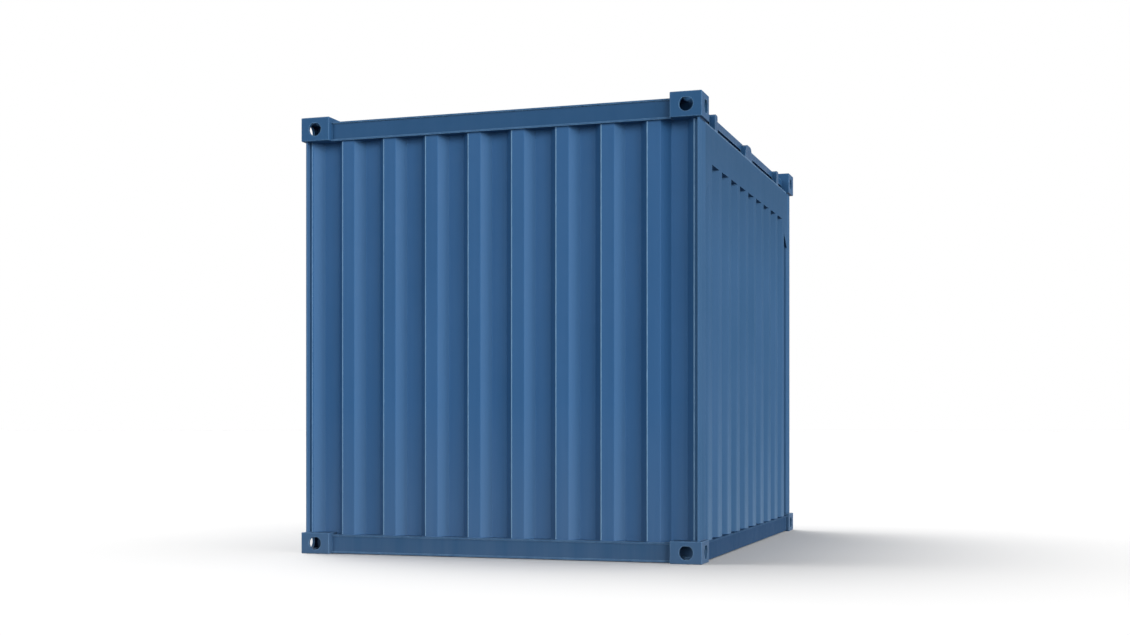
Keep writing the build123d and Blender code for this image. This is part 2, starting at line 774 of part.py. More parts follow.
# Handle catches: hooks on the leaves round the free ends of the levers
catch_reach = door_face - handle_back + handle_thickness + catch_wall
catch_places = [(door_outer, v - handle_length + catch_width) for v in right_bars]
catch_places += [(door_outer, v + handle_length - catch_width) for v in left_bars]
with BuildPart() as handle_catches:
    with BuildSketch(plan.offset(handle_level - catch_height / 2)):
        with Locations(*catch_places):
            Rectangle(catch_reach, catch_width, align=(Align.MIN, Align.CENTER))
    extrude(amount=catch_height)
    with BuildSketch(plan.offset(handle_level - handle_height / 2 - running_gap)):
        with Locations(*[(handle_x - running_gap, v) for _, v in catch_places]):
            Rectangle(
                handle_thickness + 2 * running_gap,
                catch_width,
                align=(Align.MIN, Align.CENTER),
            )
    extrude(amount=handle_height + 2 * running_gap, mode=Mode.SUBTRACT)
handle_catches.part.label = "handle_catches"
export_step(handle_catches.part, "parts/handle_catches.step")

# Right hinges: a knuckle in front of the post with a cranked blade on the leaf
hinge_x = length - hinge_pin_centre
hinge_v = opening_side - hinge_from_opening
hinge_step = (door_height - 2 * hinge_from_door_edge) / (hinge_count - 1)
hinge_levels = [door_base + hinge_from_door_edge + index * hinge_step for index in range(hinge_count)]
blade_start = door_side + hinge_blade_thickness
with BuildPart() as right_hinges:
    for level in hinge_levels:
        with BuildSketch(plan.offset(level - hinge_height / 2)):
            with Locations((hinge_x, hinge_v)):
                Circle(hinge_radius)
            with BuildLine():
                Polyline(
                    (hinge_x, hinge_v),
                    (hinge_x + hinge_radius, hinge_v),
                    (hinge_x + hinge_radius, blade_start + hinge_blade_thickness),
                    (door_outer + hinge_blade_thickness, blade_start + hinge_blade_thickness),
                    (door_outer + hinge_blade_thickness, blade_start + hinge_blade_length),
                    (door_outer, blade_start + hinge_blade_length),
                    (door_outer, blade_start),
                    (hinge_x, blade_start),
                    close=True,
                )
            make_face()
        extrude(amount=hinge_height)
right_hinges.part.label = "right_hinges"
export_step(right_hinges.part, "parts/right_hinges.step")

with BuildPart() as left_hinges:
    mirror(right_hinges.part, about=Plane.XZ)
left_hinges.part.label = "left_hinges"
export_step(left_hinges.part, "parts/left_hinges.step")

# Right hinge lugs: plates on the post above and below each knuckle
lug_reach = rear_post_face - hinge_pin_centre + hinge_radius
with BuildPart() as right_hinge_lugs:
    for level in hinge_levels:
        for lug_base in (level - hinge_height / 2 - hinge_lug_height, level + hinge_height / 2):
            with BuildSketch(plan.offset(lug_base)):
                with Locations((length - rear_post_face, hinge_v)):
                    Rectangle(lug_reach, 2 * hinge_radius, align=(Align.MIN, Align.CENTER))
            extrude(amount=hinge_lug_height)
right_hinge_lugs.part.label = "right_hinge_lugs"
export_step(right_hinge_lugs.part, "parts/right_hinge_lugs.step")

with BuildPart() as left_hinge_lugs:
    mirror(right_hinge_lugs.part, about=Plane.XZ)
left_hinge_lugs.part.label = "left_hinge_lugs"
export_step(left_hinge_lugs.part, "parts/left_hinge_lugs.step")
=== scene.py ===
import math
import bmesh
import bpy
from mathutils import Matrix, Vector


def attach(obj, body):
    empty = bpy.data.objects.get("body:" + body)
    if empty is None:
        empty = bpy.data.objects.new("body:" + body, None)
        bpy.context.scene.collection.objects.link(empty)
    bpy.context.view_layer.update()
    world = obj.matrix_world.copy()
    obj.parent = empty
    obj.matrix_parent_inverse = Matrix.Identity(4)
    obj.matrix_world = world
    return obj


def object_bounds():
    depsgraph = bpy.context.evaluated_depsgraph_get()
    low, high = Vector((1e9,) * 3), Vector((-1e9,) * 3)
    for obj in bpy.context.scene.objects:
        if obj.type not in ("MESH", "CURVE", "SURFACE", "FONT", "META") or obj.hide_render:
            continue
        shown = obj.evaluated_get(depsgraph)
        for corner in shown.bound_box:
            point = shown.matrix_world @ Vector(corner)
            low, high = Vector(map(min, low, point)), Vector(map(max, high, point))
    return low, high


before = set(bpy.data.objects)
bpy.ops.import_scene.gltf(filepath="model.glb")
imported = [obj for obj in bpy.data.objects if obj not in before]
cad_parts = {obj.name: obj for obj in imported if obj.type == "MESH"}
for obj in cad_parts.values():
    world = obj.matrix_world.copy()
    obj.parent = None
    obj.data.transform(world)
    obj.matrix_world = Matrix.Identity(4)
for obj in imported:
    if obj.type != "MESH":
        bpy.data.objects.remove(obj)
cad_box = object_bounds()
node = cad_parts


# Bottom rails: rolled steel channels welded between the bottom castings and
# sprayed blue over primer. They stand nearest to the ground, so they carry the
# most dust, painted in one film with pale painted light from the floor.
def add_node(tree, kind, values=None, **settings):
    made = tree.nodes.new("ShaderNode" + kind)
    for key, value in settings.items():
        setattr(made, key, value)
    for key, value in (values or {}).items():
        made.inputs[key].default_value = value
    return made


def mixed(tree, share, under, over):
    blend = add_node(tree, "Mix", data_type="RGBA")
    tree.links.new(share, blend.inputs["Factor"])
    tree.links.new(under, blend.inputs["A"])
    blend.inputs["B"].default_value = (*over, 1.0)
    return blend.outputs["Result"]


def worked(tree, operation, first, second=0.0):
    made = add_node(tree, "Math", operation=operation)
    for socket, value in zip(made.inputs, (first, second)):
        if isinstance(value, float):
            socket.default_value = value
        else:
            tree.links.new(value, socket)
    return made.outputs["Value"]


def ranged(tree, value, low, high, start=0.0, end=1.0):
    limits = {"From Min": low, "From Max": high, "To Min": start, "To Max": end}
    made = add_node(tree, "MapRange", limits)
    tree.links.new(value, made.inputs["Value"])
    return made.outputs["Result"]


def noise(tree, place, scale, detail, roughness=0.55):
    made = add_node(tree, "TexNoise", {"Scale": scale, "Detail": detail, "Roughness": roughness})
    tree.links.new(place, made.inputs["Vector"])
    return made.outputs["Fac"]


def parted(tree, vector):
    made = add_node(tree, "SeparateXYZ")
    tree.links.new(vector, made.inputs["Vector"])
    return made.outputs


def raised(tree, height, strength, distance):
    made = add_node(tree, "Bump", {"Strength": strength, "Distance": distance})
    tree.links.new(height, made.inputs["Height"])
    return made


def bare_finish(name):
    finish = bpy.data.materials.new(name)
    finish.use_nodes = True
    finish.node_tree.nodes.clear()
    return finish, finish.node_tree


def coated(tree, values):
    out = add_node(tree, "OutputMaterial")
    shader = add_node(tree, "BsdfPrincipled", values)
    tree.links.new(shader.outputs["BSDF"], out.inputs["Surface"])
    return shader


# pale edge blue: rubbed paint and a painted highlight
rubbed_and_highlight_blue = (0.125, 0.245, 0.395)
# grey film: dust, and painted light thrown up from the floor
dust_and_floor_light_grey = (0.16, 0.19, 0.22)
streak_stretch = (11.0, 11.0, 0.45)


def sprayed_paint(
    name, deep, faded, gloss=0.40, sheen=0.05, peel=0.10, ripple=0.03,
    dust_and_light_height=0.5, dust_and_light_share=0.3, edge_width=0.0035, edge_wear_and_light=0.55, light_and_shade_marks=None, light_and_shade_share=0.0,
):
    paint, tree = bare_finish(name)
    link = tree.links.new
    shader = coated(tree, {"Specular IOR Level": sheen})
    place = add_node(tree, "TexCoord").outputs["Object"]
    at = parted(tree, place)

    # the colour drifts between a deeper and a more faded tone, in broad clouds
    # and in long upright rain streaks
    clouds = noise(tree, place, scale=1.6, detail=4.0)
    stretched = add_node(tree, "Mapping", {"Scale": streak_stretch})
    link(place, stretched.inputs["Vector"])
    streaks = noise(tree, stretched.outputs["Vector"], scale=1.0, detail=5.0, roughness=0.6)
    fading = worked(tree, "ADD", worked(tree, "MULTIPLY", clouds, 0.9), streaks)
    tone = add_node(tree, "Mix", {"A": (*deep, 1.0), "B": (*faded, 1.0)}, data_type="RGBA")
    link(ranged(tree, fading, low=0.62, high=1.28), tone.inputs["Factor"])
    colour = tone.outputs["Result"]

    # cut edges are painted paler in broken patches: partly rubbed wear, partly a painted highlight
    rounded = add_node(tree, "Bevel", {"Radius": edge_width}, samples=6)
    flat = add_node(tree, "NewGeometry")
    turned = add_node(tree, "VectorMath", operation="DOT_PRODUCT")
    link(rounded.outputs["Normal"], turned.inputs[0])
    link(flat.outputs["Normal"], turned.inputs[1])
    patches = noise(tree, place, scale=22.0, detail=6.0, roughness=0.65)
    edge = ranged(tree, turned.outputs["Value"], low=0.995, high=0.90)
    rub_and_highlight = ranged(tree, patches, low=0.34, high=0.66, start=0.4 * edge_wear_and_light, end=edge_wear_and_light)
    colour = mixed(tree, worked(tree, "MULTIPLY", edge, rub_and_highlight), colour, rubbed_and_highlight_blue)

    # some pieces carry painted light and painted shade of their own, which lie under the dust film
    if light_and_shade_marks:
        normals = {"flat": flat.outputs["Normal"], "rounded": rounded.outputs["Normal"]}
        cues = {"at": at, "patches": patches, "streaks": streaks, **normals}
        colour = light_and_shade_marks(tree, colour, cues, light_and_shade_share)

    # a thin grey film thins out with height: dust, and painted light thrown up from the floor
    thinning = ranged(tree, at["Z"], low=0.0, high=dust_and_light_height, start=dust_and_light_share, end=0.0)
    colour = mixed(tree, worked(tree, "MULTIPLY", thinning, streaks), colour, dust_and_floor_light_grey)
    link(colour, shader.inputs["Base Color"])

    # the gloss varies in patches, and the spray leaves a fine orange peel
    dulled = ranged(tree, patches, low=0.3, high=0.7, start=gloss, end=gloss + 0.14)
    link(dulled, shader.inputs["Roughness"])
    skin = raised(tree, noise(tree, place, scale=240.0, detail=2.0), peel, distance=0.0012)
    warp = raised(tree, noise(tree, place, scale=3.2, detail=1.0), ripple, distance=0.02)
    link(skin.outputs["Normal"], warp.inputs["Normal"])
    link(warp.outputs["Normal"], shader.inputs["Normal"])
    return paint


def dress(names, finish):
    for name in names:
        node[name].data.materials.clear()
        node[name].data.materials.append(finish)


deep_frame = (0.017, 0.064, 0.148)
faded_frame = (0.024, 0.077, 0.172)
rail_paint = sprayed_paint(
    "rail_paint", deep_frame, faded_frame, dust_and_light_height=0.35, dust_and_light_share=0.25, edge_width=0.006, edge_wear_and_light=0.9
)
dress(["front_bottom_rail", "rear_sill"], rail_paint)
deep_rail = (0.018, 0.054, 0.122)
faded_rail = (0.025, 0.065, 0.144)
side_rail_paint = sprayed_paint(
    "side_rail_paint", deep_rail, faded_rail, gloss=0.55, sheen=0.005,
    dust_and_light_height=0.35, dust_and_light_share=0.12, edge_width=0.006, edge_wear_and_light=0.5,
)
dress(["right_bottom_rail", "left_bottom_rail"], side_rail_paint)


# Cross members: cold rolled channels welded between the bottom side rails,
# brushed with black bitumen against salt water, so they are matt and uneven.
deep_bitumen = (0.012, 0.012, 0.013)
faded_bitumen = (0.028, 0.028, 0.03)
bitumen = sprayed_paint("bitumen", deep_bitumen, faded_bitumen, gloss=0.62, peel=0.5, dust_and_light_height=0.3)
dress(["cross_members"], bitumen)


# Floor: marine plywood sheets screwed to the cross members, oiled, with the
# grain along the container.
grain_stretch = (1.2, 26.0, 26.0)
dark_grain = (0.13, 0.062, 0.028, 1.0)
pale_grain = (0.33, 0.19, 0.095, 1.0)


def ply_wood(name):
    wood, tree = bare_finish(name)
    link = tree.links.new
    shader = coated(tree, {"Roughness": 0.62})
    along = add_node(tree, "Mapping", {"Scale": grain_stretch})
    link(add_node(tree, "TexCoord").outputs["Object"], along.inputs["Vector"])
    grain = noise(tree, along.outputs["Vector"], scale=1.5, detail=7.0, roughness=0.65)
    tone = add_node(tree, "ValToRGB")
    for stop, position, colour in zip(tone.color_ramp.elements, (0.32, 0.72), (dark_grain, pale_grain)):
        stop.position = position
        stop.color = colour
    link(grain, tone.inputs["Fac"])
    link(tone.outputs["Color"], shader.inputs["Base Color"])
    relief = raised(tree, grain, strength=0.35, distance=0.001)
    link(relief.outputs["Normal"], shader.inputs["Normal"])
    return wood


dress(["floor_boards"], ply_wood("ply_wood"))


# Corner castings: hollow cast steel blocks welded to the posts and rails, with
# a sand-cast skin under the same blue paint. Painted shade darkens their corners.
deep_cast = (0.020, 0.073, 0.166)
faded_cast = (0.028, 0.087, 0.191)
painted_shade_black = (0.006, 0.014, 0.028)
shade_reach = 0.06


# painted shade: the paint is darkened where ambient occlusion finds nearby surfaces, in corners, recesses and
# between parts
def corner_painted_shade(tree, colour, cues, share):
    nearby = add_node(tree, "AmbientOcclusion", {"Distance": shade_reach}, samples=6)
    shut_in = ranged(tree, nearby.outputs["AO"], low=0.62, high=0.15, start=0.0, end=share)
    return mixed(tree, shut_in, colour, painted_shade_black)


casting_paint = sprayed_paint(
    "casting_paint", deep_cast, faded_cast, gloss=0.44, peel=0.45, ripple=0.06,
    edge_width=0.007, edge_wear_and_light=0.95, light_and_shade_marks=corner_painted_shade, light_and_shade_share=0.5,
)
ends = ("front", "rear")
sides = ("right", "left")
for level in ("top", "bottom"):
    dress([f"{end}_{side}_{level}_casting" for end in ends for side in sides], casting_paint)


# Corner posts: pressed steel sections welded between the castings, sprayed with
# the walls, paler along their outer bends as rubbed wear and painted highlight,
# and darkened in their corners with painted shade.
# painted light: the side walls, posts and lips take a paler copy of the wall blue, matched to how the lamps
# fall on the sides
side_lit_deep = (0.040, 0.104, 0.208)
side_lit_faded = (0.052, 0.120, 0.237)
post_paint = sprayed_paint(
    "post_paint", side_lit_deep, side_lit_faded, gloss=0.58, sheen=0.005, dust_and_light_height=0.7, dust_and_light_share=0.15,
    edge_width=0.008, edge_wear_and_light=0.15, light_and_shade_marks=corner_painted_shade, light_and_shade_share=0.6,
)
dress([f"{end}_{side}_post" for end in ends for side in sides], post_paint)


# Post lips: a narrow folded steel strip up the outer edge of each front post,
# which stands out in front of the end wall. Places on the container are in
# millimetres: in from its end, in from its side, and up from the ground.
mm = 0.001
half_length, half_width = cad_box[1][0], cad_box[1][1]
casting_foot, casting_top = 125.0, 2451.0
lip_front, lip_inner, lip_round = 20.0, 32.0, 4.0
post_side, post_bend = 20.0, [(54.0, 32.0), (60.0, 26.0), (71.0, 20.0)]


def from_corner(end, side, run):
    turn = 1.0 if end == "front" else -1.0
    swing = 1.0 if side == "right" else -1.0
    return [
        Vector((turn * (inward * mm - half_length), swing * (across * mm - half_width), level * mm))
        for inward, across, level in run
    ]


def made_piece(name, mesh, finish, smooth=True):
    bmesh.ops.recalc_face_normals(mesh, faces=mesh.faces)
    data = bpy.data.meshes.new(name)
    mesh.to_mesh(data)
    mesh.free()
    for face in data.polygons:
        face.use_smooth = smooth
    data.materials.append(finish)
    piece = bpy.data.objects.new(name, data)
    bpy.context.scene.collection.objects.link(piece)
    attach(piece, "root")
    return piece


def joined_rings(mesh, rings):
    for ring, after in zip(rings, rings[1:]):
        for corner in range(len(ring)):
            turn = (corner + 1) % len(ring)
            mesh.faces.new((ring[corner], ring[turn], after[turn], after[corner]))
    mesh.faces.new(rings[0])
    mesh.faces.new(rings[-1])


turns = [math.radians(angle) for angle in (0, 30, 60, 90)]
bends = [(lip_round * (1 - math.sin(a)), lip_round * (1 - math.cos(a))) for a in turns]
outer_round = [(lip_front + back, post_side + aside) for back, aside in bends]
inner_round = [(lip_front + aside, lip_inner - back) for back, aside in bends]
lip_outline = [post_bend[2], *outer_round, *inner_round, *post_bend[:2]]
strips = bmesh.new()
for side in sides:
    rings = []
    for level in (casting_foot, casting_top):
        outline = from_corner("front", side, [(*point, level) for point in lip_outline])
        rings.append([strips.verts.new(point) for point in outline])
    joined_rings(strips, rings)
lip_paint = sprayed_paint(
    "lip_paint", side_lit_deep, side_lit_faded, gloss=0.58, sheen=0.005,
    dust_and_light_height=0.7, dust_and_light_share=0.15, edge_width=0.006, edge_wear_and_light=0.55,
)
post_lips = made_piece("post_lips", strips, lip_paint, smooth=False)


# Frame welds: fillet beads laid by hand round the ends of the posts and rails,
# where they meet the castings, and sprayed over.
bead_sides, bead_step = 7, 11.0
off_axis = Vector((0.31, 0.52, 0.80))


def laid_bead(mesh, run, radius):
    points = [run[0]]
    for start, stop in zip(run, run[1:]):
        count = max(1, round((stop - start).length / (bead_step * mm)))
        points += [start.lerp(stop, (index + 1) / count) for index in range(count)]
    last = len(points) - 1
    corners = [2 * math.pi * corner / bead_sides for corner in range(bead_sides)]
    rings = []
    for index, point in enumerate(points):
        ahead = (points[min(index + 1, last)] - points[max(index - 1, 0)]).normalized()
        across = ahead.cross(off_axis).normalized()
        above = ahead.cross(across)
        # the bead swells and thins as the hand moves, and tapers off at both ends
        swell = 0.86 + 0.14 * math.sin(1.9 * index) + 0.07 * math.sin(0.61 * index)
        size = radius * mm * (0.35 if index in (0, last) else swell)
        ring = [point + size * (math.cos(a) * across + math.sin(a) * above) for a in corners]
        rings.append([mesh.verts.new(place) for place in ring])
    joined_rings(mesh, rings)


frame_bead = 4.0
casting_length, casting_width = 178.0, 182.0
post_front, post_inner = 50.0, 47.0
front_post = [
    (post_front, post_inner), (post_front, lip_inner), inner_round[-1], inner_round[0],
    outer_round[-1], outer_round[0], (casting_length, post_side),
]
rear_near, rear_near_width = 30.0, 98.0
rear_far, rear_far_width = 152.0, 80.0
rear_round = 12.0
rear_mid = rear_round * (1 - math.sqrt(0.5))
rear_post = [
    (rear_far, rear_far_width), (rear_far, post_side + rear_round),
    (rear_far - rear_mid, post_side + rear_mid), (rear_far - rear_round, post_side),
    (rear_near + rear_round, post_side), (rear_near + rear_mid, post_side + rear_mid),
    (rear_near, post_side + rear_round), (rear_near, rear_near_width),
]
end_rails = [("front", 2451.0, 2563.0), ("rear", 2451.0, 2563.0), ("front", 4.0, 114.0), ("rear", 4.0, 125.0)]
channel_face, channel_web, channel_flange = 33.0, 41.0, 9.0
bottom_rail = [(27.0, 6.0), (27.0, 105.0), (12.0, 105.0)]
top_rail = [(75.0, 2452.0), (75.0, 2501.0), (55.0, 2501.0), (55.0, 2544.0)]
beads = bmesh.new()
for side in sides:
    for level in (casting_foot, casting_top):
        for end, outline in (("front", front_post), ("rear", rear_post)):
            laid_bead(beads, from_corner(end, side, [(*point, level) for point in outline]), frame_bead)
    for end, low, high in end_rails:
        foot, head = low + channel_flange, high - channel_flange
        channel = [(channel_face, foot), (channel_web, foot), (channel_web, head), (channel_face, head)]
        run = [(inward, casting_width, level) for inward, level in channel]
        laid_bead(beads, from_corner(end, side, run), frame_bead)
    for end in ends:
        for rail in (bottom_rail, top_rail):
            run = [(casting_length, *point) for point in rail]
            laid_bead(beads, from_corner(end, side, run), frame_bead)
weld_paint = sprayed_paint(
    "weld_paint", deep_cast, faded_cast, gloss=0.36, peel=0.6, ripple=0.0, dust_and_light_height=0.3, dust_and_light_share=0.25
)
frame_welds = made_piece("frame_welds", beads, weld_paint)


# Walls: thin pressed steel sheets welded all round into the frame. The long
# flats ripple a little between the folds. The end wall's folds carry painted
# light, a painted shadow and painted highlights; the side walls are painted
# darker high up and paler low down with painted light from the floor.
deep_blue = (0.0250, 0.088, 0.207)
faded_blue = (0.0325, 0.102, 0.233)
# painted light and painted shadow for the end wall's right-facing slopes
lit_slope_blue = (0.041, 0.112, 0.236)
shade_blue = (0.022, 0.078, 0.184)
# painted highlight along the left edges of the outer flats
highlight_blue = (0.24, 0.42, 0.62)
# darker blue for the top of the side walls
upper_dark_blue = (0.030, 0.061, 0.108)
# painted light from the floor on the low outer flats
floor_lit_blue = (0.17, 0.27, 0.40)


def painted_fold_light(tree, colour, cues, share):
    # painted light: the slopes that look to the right are painted paler, except
    # the last one, which gets a painted shadow of the post's lip instead
    facing = parted(tree, cues["flat"])
    ahead = worked(tree, "ABSOLUTE", facing["X"])
    rightward = ranged(tree, facing["Y"], low=-0.45, high=-0.70)
    slope = worked(tree, "MULTIPLY", rightward, ranged(tree, ahead, low=0.45, high=0.60))
    clear_of_lip = ranged(tree, cues["at"]["Y"], low=-0.90, high=-0.86)
    colour = mixed(tree, worked(tree, "MULTIPLY", slope, clear_of_lip), colour, lit_slope_blue)
    lip_shadowed = worked(tree, "MULTIPLY", slope, worked(tree, "SUBTRACT", 1.0, clear_of_lip))
    colour = mixed(tree, lip_shadowed, colour, shade_blue)

    # a painted highlight runs along the left edge of each outer flat, broken in patches
    outer = ranged(tree, worked(tree, "ABSOLUTE", cues["at"]["X"]), low=1.425, high=1.440)
    upright = ranged(tree, ahead, low=0.66, high=0.76)
    leaning = ranged(tree, parted(tree, cues["rounded"])["Y"], low=0.04, high=0.20)
    line = worked(tree, "MULTIPLY", worked(tree, "MULTIPLY", outer, upright), leaning)
    highlight_share = ranged(tree, cues["patches"], low=0.30, high=0.70, start=0.65 * share, end=share)
    return mixed(tree, worked(tree, "MULTIPLY", line, highlight_share), colour, highlight_blue)


def dark_top_lit_foot_flats(tree, colour, cues, share):
    # high up, the flat band is painted darker towards the top
    height = cues["at"]["Z"]
    darker_up = ranged(tree, height, low=1.75, high=2.35, start=0.0, end=0.36)
    colour = mixed(tree, darker_up, colour, upper_dark_blue)

    # painted light: low down, the flats that stand furthest out are painted paler, unevenly, as if lit from
    # the floor
    proud = ranged(tree, worked(tree, "ABSOLUTE", cues["at"]["Y"]), low=1.187, high=1.1975)
    low_down = worked(tree, "SUBTRACT", 1.0, ranged(tree, height, low=0.10, high=1.25))
    floor_lit = worked(tree, "MULTIPLY", worked(tree, "POWER", low_down, 1.6), proud)
    uneven = ranged(tree, cues["streaks"], low=0.30, high=0.70, start=0.55 * share, end=share)
    return mixed(tree, worked(tree, "MULTIPLY", floor_lit, uneven), colour, floor_lit_blue)


end_paint = sprayed_paint(
    "end_paint", deep_blue, faded_blue, gloss=0.37, peel=0.08, ripple=0.10, dust_and_light_height=0.9, dust_and_light_share=0.25,
    edge_width=0.009, edge_wear_and_light=0.2, light_and_shade_marks=painted_fold_light, light_and_shade_share=1.0,
)
side_paint = sprayed_paint(
    "side_paint", side_lit_deep, side_lit_faded, gloss=0.58, sheen=0.005, peel=0.08, ripple=0.10, dust_and_light_share=0.08,
    edge_width=0.004, edge_wear_and_light=0.2, light_and_shade_marks=dark_top_lit_foot_flats, light_and_shade_share=0.45,
)
dress(["front_wall"], end_paint)
dress(["right_wall", "left_wall"], side_paint)


# Wall welds: thin beads that fix the edges of the sheets to the bottom rails,
# the front top rail and the front posts, sprayed over with the walls.
length, width = 2 * half_length / mm, 2 * half_width / mm
crest, slope = 78.0, 48.0
end_outer, end_inner, end_valleys, end_first = 50.0, 111.0, 9, 151.0
side_outer, side_inner, side_crests, side_first = 20.0, 81.0, 10, 313.35
rail_top, wall_bead, post_bead = 114.0, 3.0, 2.0
flange_face, flange_edge, flange_top = 181.0, 41.0, 2138.0
side_start, side_end = 52.0, 2836.0


def pressed_line(reach, first, count, half, near, far):
    pitch = (reach - 2 * first) / (count - 1)
    line = []
    for centre in [first + index * pitch for index in range(count)]:
        line += [(centre - half, far), (centre - half + slope, near)]
        line += [(centre + half - slope, near), (centre + half, far)]
    return line


end_pitch = (width - 2 * end_first) / (end_valleys - 1)
end_fold = pressed_line(width, end_first, end_valleys, (end_pitch - crest) / 2, end_inner, end_outer)
side_fold = pressed_line(length, side_first, side_crests, crest / 2 + slope, side_outer, side_inner)
end_line = [(post_inner, end_outer), *end_fold, (width - post_inner, end_outer)]
right_face, left_face = casting_width, width - casting_width
foot_line = sorted([*end_line, (right_face, end_inner), (left_face, end_inner)])
foot_seam = [(depth, across, casting_foot) for across, depth in foot_line if across <= right_face]
foot_seam += [(depth, across, rail_top) for across, depth in foot_line if right_face <= across <= left_face]
foot_seam += [(depth, across, casting_foot) for across, depth in foot_line if across >= left_face]
head_seam = [(depth, across, casting_top) for across, depth in end_line]
post_seam = [(post_front + 1, post_inner - 1, level) for level in (casting_foot + 5, casting_top - 5)]
flange_seam = [(casting_length + 1, flange_edge, level) for level in (rail_top + 4, flange_top)]
side_line = [(flange_face, side_start), (flange_face, side_inner), *side_fold, (side_end, side_inner)]
side_seam = [(*point, rail_top) for point in side_line]
seams = bmesh.new()
for seam in (foot_seam, head_seam):
    laid_bead(seams, from_corner("front", "right", seam), wall_bead)
for side in sides:
    for seam, radius in ((post_seam, post_bead), (flange_seam, wall_bead), (side_seam, wall_bead)):
        laid_bead(seams, from_corner("front", side, seam), radius)
seam_paint = sprayed_paint(
    "seam_paint", deep_blue, faded_blue, gloss=0.36, peel=0.6, ripple=0.0, dust_and_light_height=0.3, dust_and_light_share=0.25
)
wall_welds = made_piece("wall_welds", seams, seam_paint)


# Top rails and brackets: steel channels and a slim tube welded along the roof's
# edges, with welded blocks on the ledge of the side rails.
# the top rails and brackets are darkened in their corners and recesses with painted shade
top_paint = sprayed_paint(
    "top_paint", deep_frame, faded_frame, edge_width=0.007, edge_wear_and_light=1.0, light_and_shade_marks=corner_painted_shade, light_and_shade_share=0.5
)
dress(["front_top_rail", "rear_header", "right_top_rail", "left_top_rail"], top_paint)
dress(["right_rail_brackets", "left_rail_brackets"], top_paint)


# Roof: a thin steel sheet pressed into cross ribs, with plates that close its
# ends. It lies in the weather, so it is paler and duller than the walls.
faded_roof = (0.055, 0.135, 0.270)
roof_paint = sprayed_paint(
    "roof_paint", deep_blue, faded_roof, gloss=0.46, ripple=0.10, dust_and_light_height=0.3, dust_and_light_share=0.2
)
dress(["roof", "roof_end_plates"], roof_paint)


# Doors: pressed steel sheets in welded frames, sprayed with the end wall and
# closed against black rubber gaskets.
door_paint = sprayed_paint(
    "door_paint", deep_blue, faded_blue, gloss=0.37, peel=0.08, ripple=0.08, dust_and_light_height=0.6, dust_and_light_share=0.25
)
dress(["right_door", "left_door"], door_paint)
fresh_rubber = (0.010, 0.010, 0.011, 1.0)
bloomed_rubber = (0.034, 0.034, 0.036, 1.0)


def black_rubber(name):
    rubber, tree = bare_finish(name)
    link = tree.links.new
    shader = coated(tree, {"Specular IOR Level": 0.3})
    place = add_node(tree, "TexCoord").outputs["Object"]
    bloom = noise(tree, place, scale=14.0, detail=6.0)
    tone = add_node(tree, "ValToRGB")
    for stop, colour in zip(tone.color_ramp.elements, (fresh_rubber, bloomed_rubber)):
        stop.color = colour
    link(bloom, tone.inputs["Fac"])
    link(tone.outputs["Color"], shader.inputs["Base Color"])
    link(ranged(tree, bloom, low=0.0, high=1.0, start=0.55, end=0.8), shader.inputs["Roughness"])
    skin = raised(tree, noise(tree, place, scale=500.0, detail=1.0), strength=0.15, distance=0.0006)
    link(skin.outputs["Normal"], shader.inputs["Normal"])
    return rubber


dress(["right_door_gasket", "left_door_gasket"], black_rubber("black_rubber"))


# Locking gear and hinges: steel tubes, forged levers and welded blocks on the
# doors, painted with them and rubbed at every edge that a hand or chain meets.
gear_paint = sprayed_paint(
    "gear_paint", deep_blue, faded_blue, gloss=0.36, peel=0.18, ripple=0.02, dust_and_light_height=0.6, dust_and_light_share=0.2
)
dress(["locking_bars", "bar_guides", "bar_keepers", "lock_handles", "handle_catches"], gear_paint)
dress(["right_hinges", "left_hinges", "right_hinge_lugs", "left_hinge_lugs"], gear_paint)


# Hinge bolts and pins: three hexagon bolts with washers hold each steel blade to
# its leaf, and the head of the pin stands on each lug. Each head is a stack of
# rings, given by their radius and their rise above the seat.
hinge_count, hinge_foot, hinge_span = 4, 327.0, 1922.0
hinge_levels = [hinge_foot + step * hinge_span / (hinge_count - 1) for step in range(hinge_count)]
blade_face, blade_bolts = 36.0, [(168.0, 30.0), (168.0, -30.0), (218.0, 0.0)]
pin_inward, pin_across, pin_lift = 17.0, 103.0, 71.0
washer = [(15.0, -1.0), (15.0, 2.0), (14.3, 2.5)]
hexagon = [(11.5, 2.0), (11.5, 9.5), (9.5, 11.0)]
pin_head = [(9.5, -1.0), (9.5, 5.0), (7.0, 7.5)]
outwards = Matrix.Rotation(math.radians(90), 3, "Y")
upwards = Matrix.Identity(3)


def turned_head(mesh, seat, lean, stages, corners):
    angles = [2 * math.pi * corner / corners for corner in range(corners)]
    rings = []
    for radius, rise in stages:
        ring = [Vector((radius * math.cos(a), radius * math.sin(a), rise)) * mm for a in angles]
        rings.append([mesh.verts.new(lean @ place + seat) for place in ring])
    joined_rings(mesh, rings)


bolts = bmesh.new()
for side in sides:
    for level in hinge_levels:
        for across, lift in blade_bolts:
            seat = from_corner("rear", side, [(blade_face, across, level + lift)])[0]
            turned_head(bolts, seat, outwards, washer, corners=24)
            turned_head(bolts, seat, outwards, hexagon, corners=6)
        for flip in (1, -1):
            seat = from_corner("rear", side, [(pin_inward, pin_across, level + flip * pin_lift)])[0]
            stages = [(radius, flip * rise) for radius, rise in pin_head]
            turned_head(bolts, seat, upwards, stages, corners=20)
hinge_bolts = made_piece("hinge_bolts", bolts, gear_paint)


